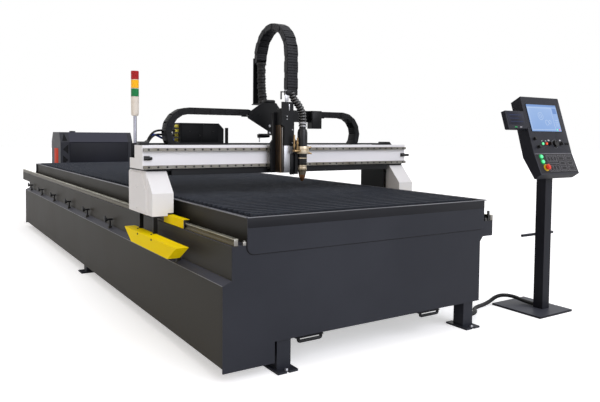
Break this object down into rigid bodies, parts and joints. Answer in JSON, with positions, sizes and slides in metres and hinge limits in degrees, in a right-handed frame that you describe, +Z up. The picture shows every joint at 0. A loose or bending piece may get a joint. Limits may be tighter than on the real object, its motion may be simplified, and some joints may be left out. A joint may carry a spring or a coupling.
{
  "type": "gantry plasma cutting machine",
  "caption": "Long suction cutting table with a travelling gantry, plasma torch carriage, arched energy chain, operator console and power source.",
  "frame": {"origin": "on the floor, at the centre of the whole set's bounding box", "axes": "+X to the right across the table, +Y along the table away from the operator, +Z up"},
  "size_m": [2.857, 7.365, 2.0331],
  "materials": {
    "charcoal_coat": "satin powder coat",
    "slag_steel": "heat-scaled plate",
    "gate_steel": "black paint",
    "rail_steel": "ground",
    "guide_steel": "ground",
    "plunger_steel": "black oxide",
    "white_coat": "gloss powder coat",
    "tie_coat": "satin powder coat",
    "truck_coat": "satin black paint",
    "yellow_coat": "gloss powder coat",
    "chain_polymer": "moulded",
    "box_coat": "fine texture powder coat",
    "carriage_coat": "satin black anodised look",
    "block_steel": "ground",
    "bronze_anodised": "bronze anodised",
    "slide_aluminium": "milled",
    "torch_shell": "moulded",
    "nozzle_brass": "turned",
    "hose_rubber": "ribbed",
    "sleeve_fabric": "woven sleeve",
    "beacon_base": "moulded",
    "beacon_lens": "moulded clear plastic",
    "stand_coat": "satin powder coat",
    "screen_glass": "glossy panel",
    "lit_green": "moulded",
    "stop_red": "moulded",
    "knob_plastic": "moulded",
    "conduit_polymer": "corrugated",
    "cabinet_coat": "satin powder coat",
    "cap_coat": "moulded"
  },
  "bodies": {
    "table": {"end_plates": "charcoal_coat", "tray_walls": "charcoal_coat", "tray_plates": "slag_steel", "gate_runners": "slag_steel", "end_aprons": "charcoal_coat", "extraction_duct": "charcoal_coat", "rail_beams": "charcoal_coat", "running_rails": "rail_steel", "slat_ledges": "slag_steel", "cutting_slats": "slag_steel", "legs": "charcoal_coat", "console_stand": "stand_coat", "console_head": "stand_coat", "console_screen": "screen_glass", "side_box": "stand_coat", "console_conduit": "conduit_polymer", "power_cabinet": "cabinet_coat", "power_end_caps": "cap_coat"},
    "gantry": {"gantry_beam": "white_coat", "tie_beam": "tie_coat", "end_covers": "white_coat", "beam_rails": "guide_steel", "end_trucks": "truck_coat", "drive_units": "truck_coat", "cam_ramp": "yellow_coat", "rail_wipers": "yellow_coat", "chain_tray": "tie_coat", "left_chain": "chain_polymer", "right_chain": "chain_polymer", "control_box": "box_coat", "beacon_stand": "beacon_base", "beacon_lenses": "beacon_lens"},
    "carriage": {"carriage_plate": "carriage_coat", "bearing_blocks": "block_steel", "lifter_column": "bronze_anodised", "lifter_motor": "carriage_coat", "chain_arms": "carriage_coat", "arch_chain": "chain_polymer", "lead_sleeve": "sleeve_fabric"},
    "torch_lift": {"slide_plate": "slide_aluminium", "torch_holder": "carriage_coat", "torch_body": "torch_shell", "torch_nozzle": "nozzle_brass", "torch_hose": "hose_rubber"},
    "lifter_screw": {"lifter_screw": "guide_steel"},
    "slag_gate_left": {"slag_gate_left": "gate_steel"},
    "slag_gate_right": {"slag_gate_right": "gate_steel"},
    "lit_button_upper": {"lit_button_upper": "lit_green"},
    "lit_button_lower": {"lit_button_lower": "lit_green"},
    "stop_button": {"stop_button": "stop_red"},
    "mode_selector": {"mode_selector": "knob_plastic"},
    "jog_dial": {"jog_dial": "knob_plastic"},
    "damper_plunger_1": {"damper_plunger_1": "plunger_steel"},
    "damper_plunger_2": {"damper_plunger_2": "plunger_steel"},
    "damper_plunger_3": {"damper_plunger_3": "plunger_steel"},
    "damper_plunger_4": {"damper_plunger_4": "plunger_steel"},
    "damper_plunger_5": {"damper_plunger_5": "plunger_steel"},
    "damper_plunger_6": {"damper_plunger_6": "plunger_steel"},
    "damper_plunger_7": {"damper_plunger_7": "plunger_steel"},
    "damper_plunger_8": {"damper_plunger_8": "plunger_steel"}
  },
  "joints": [
    {"name": "gantry_travel", "type": "slide", "parent": "table", "child": "gantry", "axis": [0, 1, 0], "range_m": [-0.62, 5]},
    {"name": "carriage_travel", "type": "slide", "parent": "gantry", "child": "carriage", "axis": [1, 0, 0], "range_m": [-0.65, 0.77], "deforming": ["left_chain", "right_chain"]},
    {"name": "torch_height", "type": "slide", "parent": "carriage", "child": "torch_lift", "axis": [0, 0, 1], "range_m": [-0.08, 0.12], "deforming": ["arch_chain"]},
    {"name": "screw_turn", "type": "hinge", "parent": "carriage", "child": "lifter_screw", "pos_m": [-0.456, -2.645, 1.148], "axis": [0, 0, 1], "continuous": true},
    {"name": "left_gate_pull", "type": "slide", "parent": "table", "child": "slag_gate_left", "axis": [0, -1, 0], "range_m": [0, 0.45]},
    {"name": "right_gate_pull", "type": "slide", "parent": "table", "child": "slag_gate_right", "axis": [0, -1, 0], "range_m": [0, 0.45]},
    {"name": "damper_press_1", "type": "slide", "parent": "table", "child": "damper_plunger_1", "axis": [0, 0, -1], "range_m": [0, 0.04], "stiffness_N_per_m": 1500, "springref_m": -0.03},
    {"name": "damper_press_2", "type": "slide", "parent": "table", "child": "damper_plunger_2", "axis": [0, 0, -1], "range_m": [0, 0.04], "stiffness_N_per_m": 1500, "springref_m": -0.03},
    {"name": "damper_press_3", "type": "slide", "parent": "table", "child": "damper_plunger_3", "axis": [0, 0, -1], "range_m": [0, 0.04], "stiffness_N_per_m": 1500, "springref_m": -0.03},
    {"name": "damper_press_4", "type": "slide", "parent": "table", "child": "damper_plunger_4", "axis": [0, 0, -1], "range_m": [0, 0.04], "stiffness_N_per_m": 1500, "springref_m": -0.03},
    {"name": "damper_press_5", "type": "slide", "parent": "table", "child": "damper_plunger_5", "axis": [0, 0, -1], "range_m": [0, 0.04], "stiffness_N_per_m": 1500, "springref_m": -0.03},
    {"name": "damper_press_6", "type": "slide", "parent": "table", "child": "damper_plunger_6", "axis": [0, 0, -1], "range_m": [0, 0.04], "stiffness_N_per_m": 1500, "springref_m": -0.03},
    {"name": "damper_press_7", "type": "slide", "parent": "table", "child": "damper_plunger_7", "axis": [0, 0, -1], "range_m": [0, 0.04], "stiffness_N_per_m": 1500, "springref_m": -0.03},
    {"name": "damper_press_8", "type": "slide", "parent": "table", "child": "damper_plunger_8", "axis": [0, 0, -1], "range_m": [0, 0.04], "stiffness_N_per_m": 1500, "springref_m": -0.03},
    {"name": "lit_press_upper", "type": "slide", "parent": "table", "child": "lit_button_upper", "axis": [0, 0.9146, -0.4044], "range_m": [0, 0.004], "stiffness_N_per_m": 500, "springref_m": -0.004},
    {"name": "lit_press_lower", "type": "slide", "parent": "table", "child": "lit_button_lower", "axis": [0, 0.9146, -0.4044], "range_m": [0, 0.004], "stiffness_N_per_m": 500, "springref_m": -0.004},
    {"name": "stop_press", "type": "slide", "parent": "table", "child": "stop_button", "axis": [0, 0.9146, -0.4044], "range_m": [0, 0.008], "stiffness_N_per_m": 900, "springref_m": -0.004},
    {"name": "selector_turn", "type": "hinge", "parent": "table", "child": "mode_selector", "pos_m": [1.1945, -3.57775, 1.19861], "axis": [0, -0.9523, 0.3053], "range_deg": [-45, 45]},
    {"name": "dial_turn", "type": "hinge", "parent": "table", "child": "jog_dial", "pos_m": [1.2595, -3.57775, 1.19861], "axis": [0, -0.9523, 0.3053], "continuous": true}
  ],
  "couplings": [
    {"joint": "screw_turn", "follows": "torch_height", "rad_per_m": 628.32}
  ]
}
